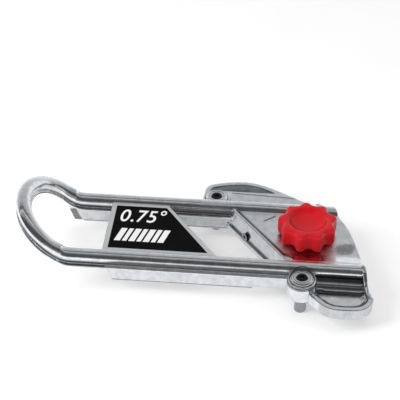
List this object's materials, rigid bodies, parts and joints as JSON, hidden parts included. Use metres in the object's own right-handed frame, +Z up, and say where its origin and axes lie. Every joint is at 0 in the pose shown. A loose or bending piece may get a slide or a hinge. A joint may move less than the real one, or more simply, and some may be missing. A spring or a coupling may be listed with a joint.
{
  "type": "ski base edge tuning tool",
  "caption": "Hand-held base edge bevel tool for skis and snowboards: railed frame with loop handle, clamped short file, side guide screws and a star knob.",
  "frame": {"origin": "on the plane of the ski base, midway between the rails, level with the clamp knob along the tool", "axes": "+X along the tool from the loop handle to the head, +Y across the rails to the far guide screw, +Z up from the ski base to the knob"},
  "size_m": [0.1946, 0.0997, 0.0456],
  "materials": {
    "cast_frame": "polished and bright-plated die casting",
    "label": "printed film",
    "strip_steel": "ground",
    "bush_brass": "turned",
    "black_steel": "black oxide",
    "tip_steel": "ground",
    "red_plastic": "moulded, semi-gloss",
    "stud_steel": "zinc plated",
    "jaw_steel": "milled",
    "file_steel": "cut teeth on the lower face"
  },
  "bodies": {
    "frame": {"frame_casting": "cast_frame", "label_sticker": "label", "near_glide_strip": "strip_steel", "far_glide_strip": "strip_steel", "near_thread_bush": "bush_brass", "far_thread_bush": "bush_brass", "stud_bush": "bush_brass", "knob_washer": "stud_steel", "jaw_spring": "stud_steel", "jaw_guide_pins": "tip_steel", "file_fence": "jaw_steel", "fence_screws": "black_steel"},
    "knob": {"clamp_knob": "red_plastic", "knob_insert": "bush_brass", "clamp_stud": "stud_steel"},
    "jaw": {"clamp_jaw": "jaw_steel"},
    "file": {"file_blade": "file_steel"},
    "near_tip": {"near_guide_tip": "tip_steel"},
    "near_screw": {"near_guide_screw": "black_steel"},
    "far_tip": {"far_guide_tip": "tip_steel"},
    "far_screw": {"far_guide_screw": "black_steel"}
  },
  "joints": [
    {"name": "knob_turn", "type": "hinge", "parent": "frame", "child": "knob", "pos_m": [0, 0.002, 0.0205], "axis": [0, 0, 1], "range_deg": [0, 900]},
    {"name": "jaw_travel", "type": "slide", "parent": "frame", "child": "jaw", "axis": [0, 0, -1], "range_m": [0, 0.0025], "deforming": ["jaw_spring"]},
    {"name": "file_slide", "type": "slide", "parent": "frame", "child": "file", "axis": [-0.6088, 0.7933, -0.0104], "range_m": [0, 0.06]},
    {"name": "near_guide_travel", "type": "slide", "parent": "frame", "child": "near_tip", "axis": [0, 0, 1], "range_m": [0, 0.0065]},
    {"name": "near_guide_turn", "type": "hinge", "parent": "near_tip", "child": "near_screw", "pos_m": [-0.0017, -0.0329, 0.01], "axis": [0, 0, 1], "range_deg": [0, 2340]},
    {"name": "far_guide_travel", "type": "slide", "parent": "frame", "child": "far_tip", "axis": [0, 0, 1], "range_m": [0, 0.0065]},
    {"name": "far_guide_turn", "type": "hinge", "parent": "far_tip", "child": "far_screw", "pos_m": [-0.0519, 0.0329, 0.01], "axis": [0, 0, 1], "range_deg": [0, 2340]}
  ],
  "couplings": [
    {"joint": "jaw_travel", "follows": "knob_turn", "m_per_rad": 0.00015915},
    {"joint": "near_guide_turn", "follows": "near_guide_travel", "rad_per_m": 6283.2},
    {"joint": "far_guide_turn", "follows": "far_guide_travel", "rad_per_m": 6283.2}
  ]
}
